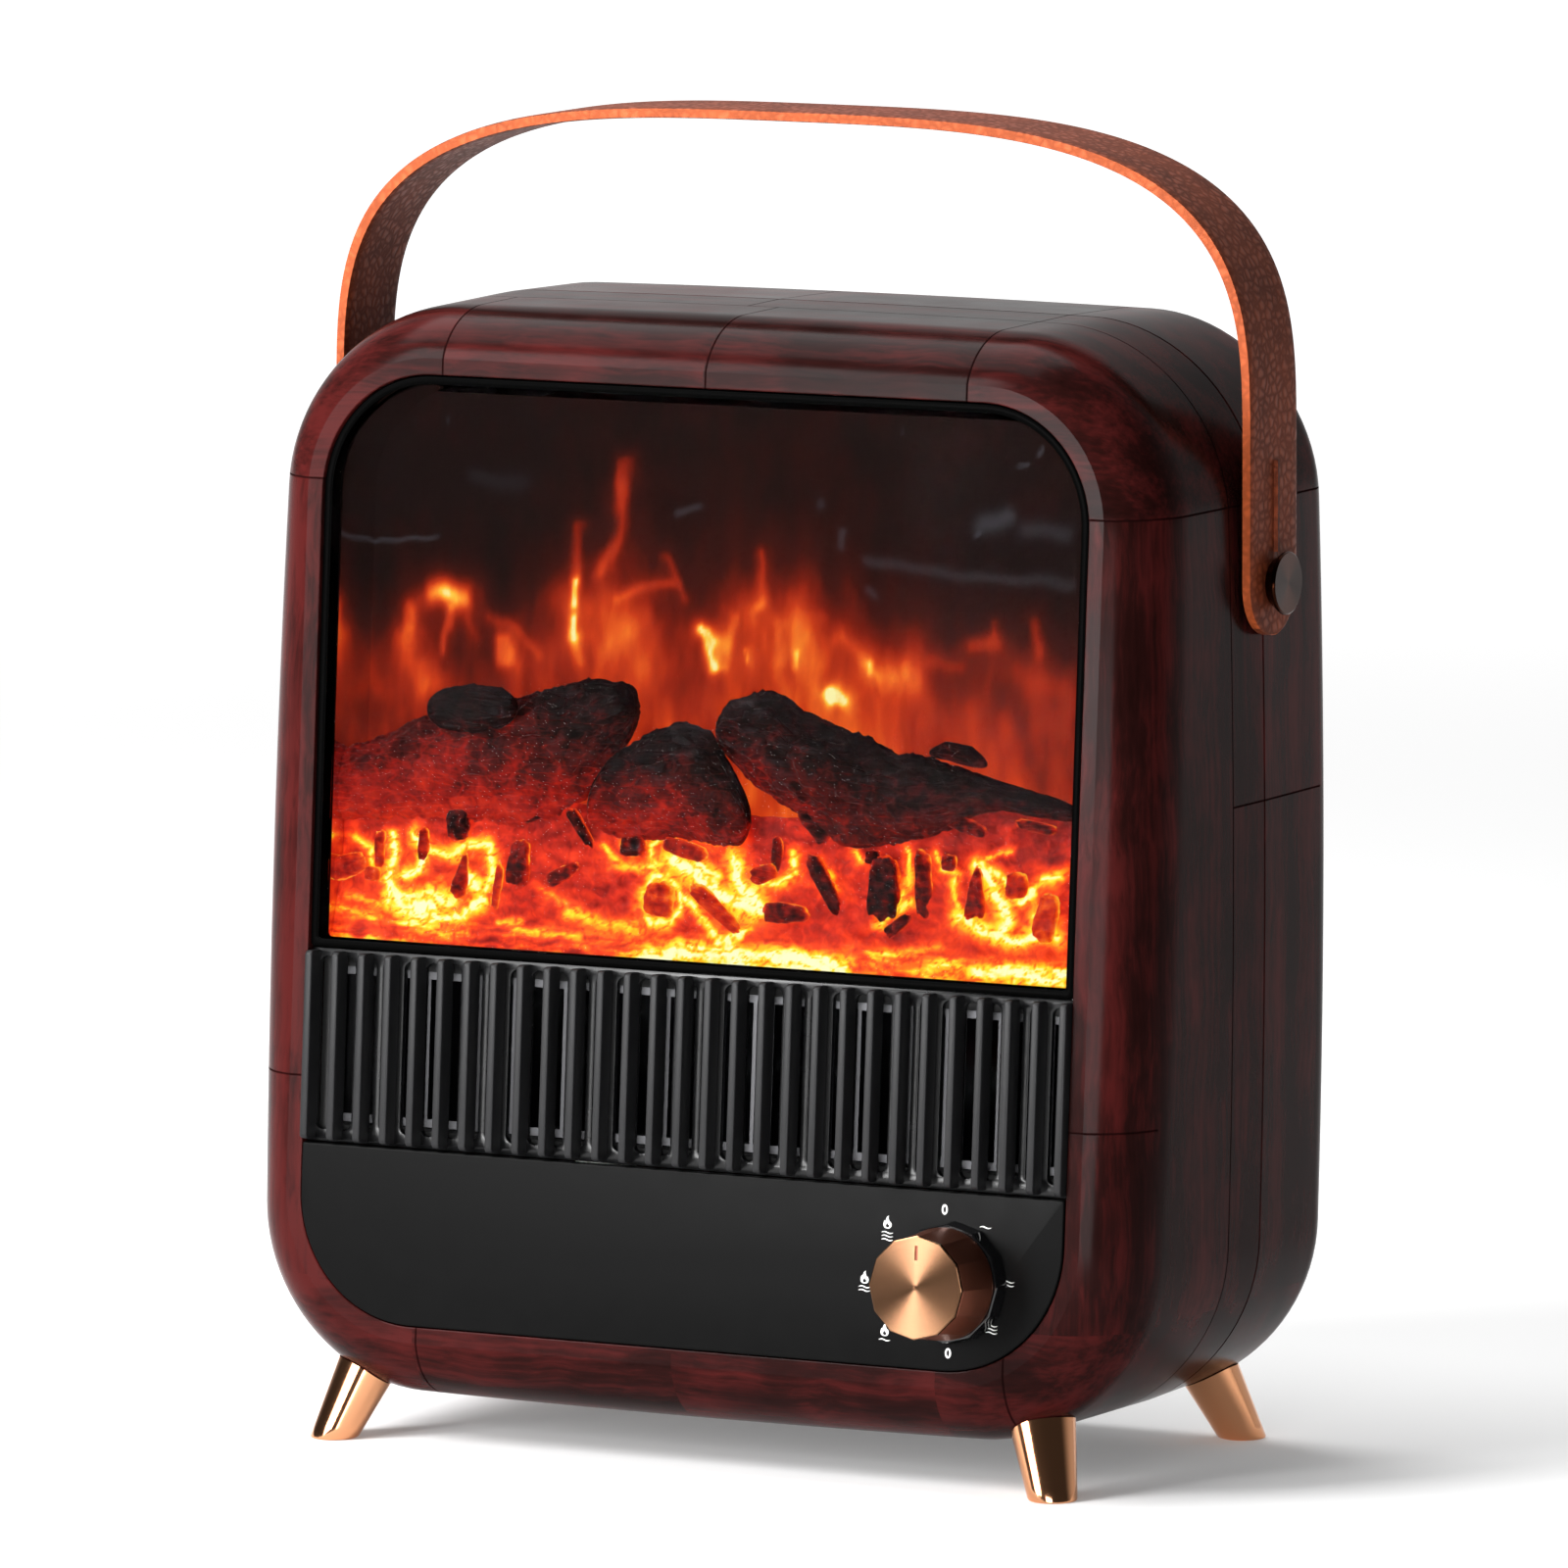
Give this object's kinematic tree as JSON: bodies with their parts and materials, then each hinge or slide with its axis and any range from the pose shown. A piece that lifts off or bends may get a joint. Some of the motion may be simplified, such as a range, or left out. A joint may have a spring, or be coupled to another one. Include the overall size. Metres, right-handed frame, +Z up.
{
  "type": "personal heater",
  "caption": "Small fan heater styled as a fireplace: wood-print housing, flame window, outlet grille, rotary dial, carry strap and splayed feet.",
  "frame": {"origin": "on the floor under the middle of the overall box", "axes": "+Z up, front faces -Y, +X to the viewer's right when looking at the front"},
  "size_m": [0.2788, 0.1458, 0.3488],
  "materials": {
    "mahogany_print": "glossy, printed with dark red mahogany planks",
    "black_gloss": "gloss",
    "black_satin": "satin",
    "window_glass": "smooth, lightly tinted",
    "dark_liner": "dark gloss that mirrors the fire",
    "ember": "translucent moulded embers, lit from behind",
    "charred_wood": "moulded and painted as charred wood",
    "flame_screen": "translucent, lit from behind",
    "leather": "pebbled brown leather with orange cut edges",
    "copper": "polished copper plate",
    "steel": "plain zinc-plated",
    "brass": "plain",
    "dark_plastic": "matt",
    "white_plastic": "matt",
    "aluminium": "plain",
    "board": "solder resist",
    "relay_blue": "satin",
    "rubber": "matt"
  },
  "bodies": {
    "housing": {"front_shell": "mahogany_print", "rear_shell": "mahogany_print", "window_bezel": "black_gloss", "window_glass": "window_glass", "firebox_liner": "dark_liner", "ember_bed": "ember", "log_left": "charred_wood", "log_centre": "charred_wood", "log_right": "charred_wood", "flame_screen": "flame_screen", "outlet_grille": "black_satin", "heating_element": "aluminium", "control_panel": "black_satin", "strap_screw_left": "copper", "strap_screw_right": "copper", "foot_front_left": "copper", "foot_front_right": "copper", "foot_rear_left": "copper", "foot_rear_right": "copper", "heater_frame": "dark_plastic", "thermal_cutout": "steel", "blower_motor": "steel", "blower_bush": "brass", "blower_cheek_left": "dark_plastic", "blower_cheek_right": "dark_plastic", "blower_guide_upper": "dark_plastic", "blower_guide_lower": "dark_plastic", "rotary_switch": "dark_plastic", "switch_nut": "steel", "ember_light_board": "board", "flame_light_board": "board", "reflector_channel": "white_plastic", "spindle_motor": "steel", "control_board": "board", "board_relay": "relay_blue", "board_capacitor": "aluminium", "base_tray": "white_plastic", "tip_over_switch": "dark_plastic", "strap_insert_left": "brass", "strap_insert_right": "brass", "shell_screw_lower_left": "steel", "shell_screw_lower_right": "steel", "shell_screw_upper_left": "steel", "shell_screw_upper_right": "steel", "foot_nut_front_left": "steel", "foot_nut_front_right": "steel", "foot_nut_rear_left": "steel", "foot_nut_rear_right": "steel", "rear_cover": "black_satin", "rear_cover_screw_left": "steel", "rear_cover_screw_right": "steel", "cord_gland": "rubber"},
    "dial": {"knob_skirt": "black_gloss", "knob_body": "copper", "knob_face": "copper", "switch_shaft": "steel"},
    "strap": {"carry_strap": "leather"},
    "blower_rotor": {"blower_impeller": "dark_plastic"},
    "flicker_spindle": {"flame_spindle": "aluminium"}
  },
  "joints": [
    {"name": "dial_turn", "type": "hinge", "parent": "housing", "child": "dial", "pos_m": [0.081, -0.05073, 0.05554], "axis": [0, -0.9971, 0.0757], "continuous": true},
    {"name": "strap_swing", "type": "hinge", "parent": "housing", "child": "strap", "pos_m": [0, 0.02426, 0.2312], "axis": [1, 0, 0], "range_deg": [-95, 95]},
    {"name": "blower_spin", "type": "hinge", "parent": "housing", "child": "blower_rotor", "pos_m": [0, 0.00881, 0.10001], "axis": [1, 0, 0], "continuous": true},
    {"name": "spindle_spin", "type": "hinge", "parent": "housing", "child": "flicker_spindle", "pos_m": [0, -0.00032, 0.1502], "axis": [1, 0, 0], "continuous": true}
  ]
}
